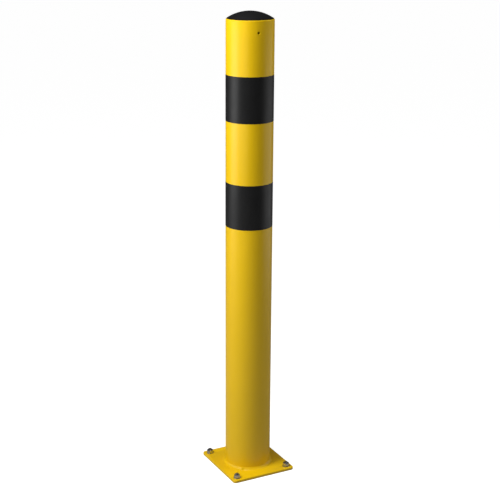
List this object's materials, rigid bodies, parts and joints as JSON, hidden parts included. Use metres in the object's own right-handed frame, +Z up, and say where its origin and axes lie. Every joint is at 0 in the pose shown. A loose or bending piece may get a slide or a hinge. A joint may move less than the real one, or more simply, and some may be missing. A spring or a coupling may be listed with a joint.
{
  "type": "bolt-down bollard",
  "caption": "Fixed guard post: a capped round steel tube with black bands, welded to a base plate that wedge anchors hold to the floor.",
  "frame": {"origin": "middle of the base plate's underside, on the floor", "axes": "+Z up the post, +X along the base plate's short side, +Y along its long side"},
  "size_m": [0.152, 0.165, 1.0799],
  "materials": {
    "yellow_coat": "traffic yellow powder coat over steel, glossy with a fine orange peel",
    "black_film": "black self-adhesive film, satin",
    "black_plastic": "moulded black polyethylene, finely grained",
    "zinc_steel": "bright zinc plate"
  },
  "bodies": {
    "post": {"base_plate": "yellow_coat", "post_tube": "yellow_coat", "foot_weld": "yellow_coat", "upper_band": "black_film", "lower_band": "black_film", "anchor_bolt_1": "zinc_steel", "anchor_bolt_2": "zinc_steel", "anchor_bolt_3": "zinc_steel", "anchor_bolt_4": "zinc_steel", "expansion_clip_1": "zinc_steel", "expansion_clip_2": "zinc_steel", "expansion_clip_3": "zinc_steel", "expansion_clip_4": "zinc_steel", "washer_1": "zinc_steel", "washer_2": "zinc_steel", "washer_3": "zinc_steel", "washer_4": "zinc_steel"},
    "cap": {"end_cap": "black_plastic"},
    "nut_1": {"nut_1": "zinc_steel"},
    "nut_2": {"nut_2": "zinc_steel"},
    "nut_3": {"nut_3": "zinc_steel"},
    "nut_4": {"nut_4": "zinc_steel"}
  },
  "joints": [
    {"name": "cap_pull", "type": "slide", "parent": "post", "child": "cap", "axis": [0, 0, 1], "range_m": [0, 0.06]},
    {"name": "nut_1_turn", "type": "hinge", "parent": "post", "child": "nut_1", "pos_m": [0.0625, 0.069, 0.0076], "axis": [0, 0, 1], "continuous": true},
    {"name": "nut_2_turn", "type": "hinge", "parent": "post", "child": "nut_2", "pos_m": [-0.0625, 0.069, 0.0076], "axis": [0, 0, 1], "continuous": true},
    {"name": "nut_3_turn", "type": "hinge", "parent": "post", "child": "nut_3", "pos_m": [-0.0625, -0.069, 0.0076], "axis": [0, 0, 1], "continuous": true},
    {"name": "nut_4_turn", "type": "hinge", "parent": "post", "child": "nut_4", "pos_m": [0.0625, -0.069, 0.0076], "axis": [0, 0, 1], "continuous": true}
  ]
}
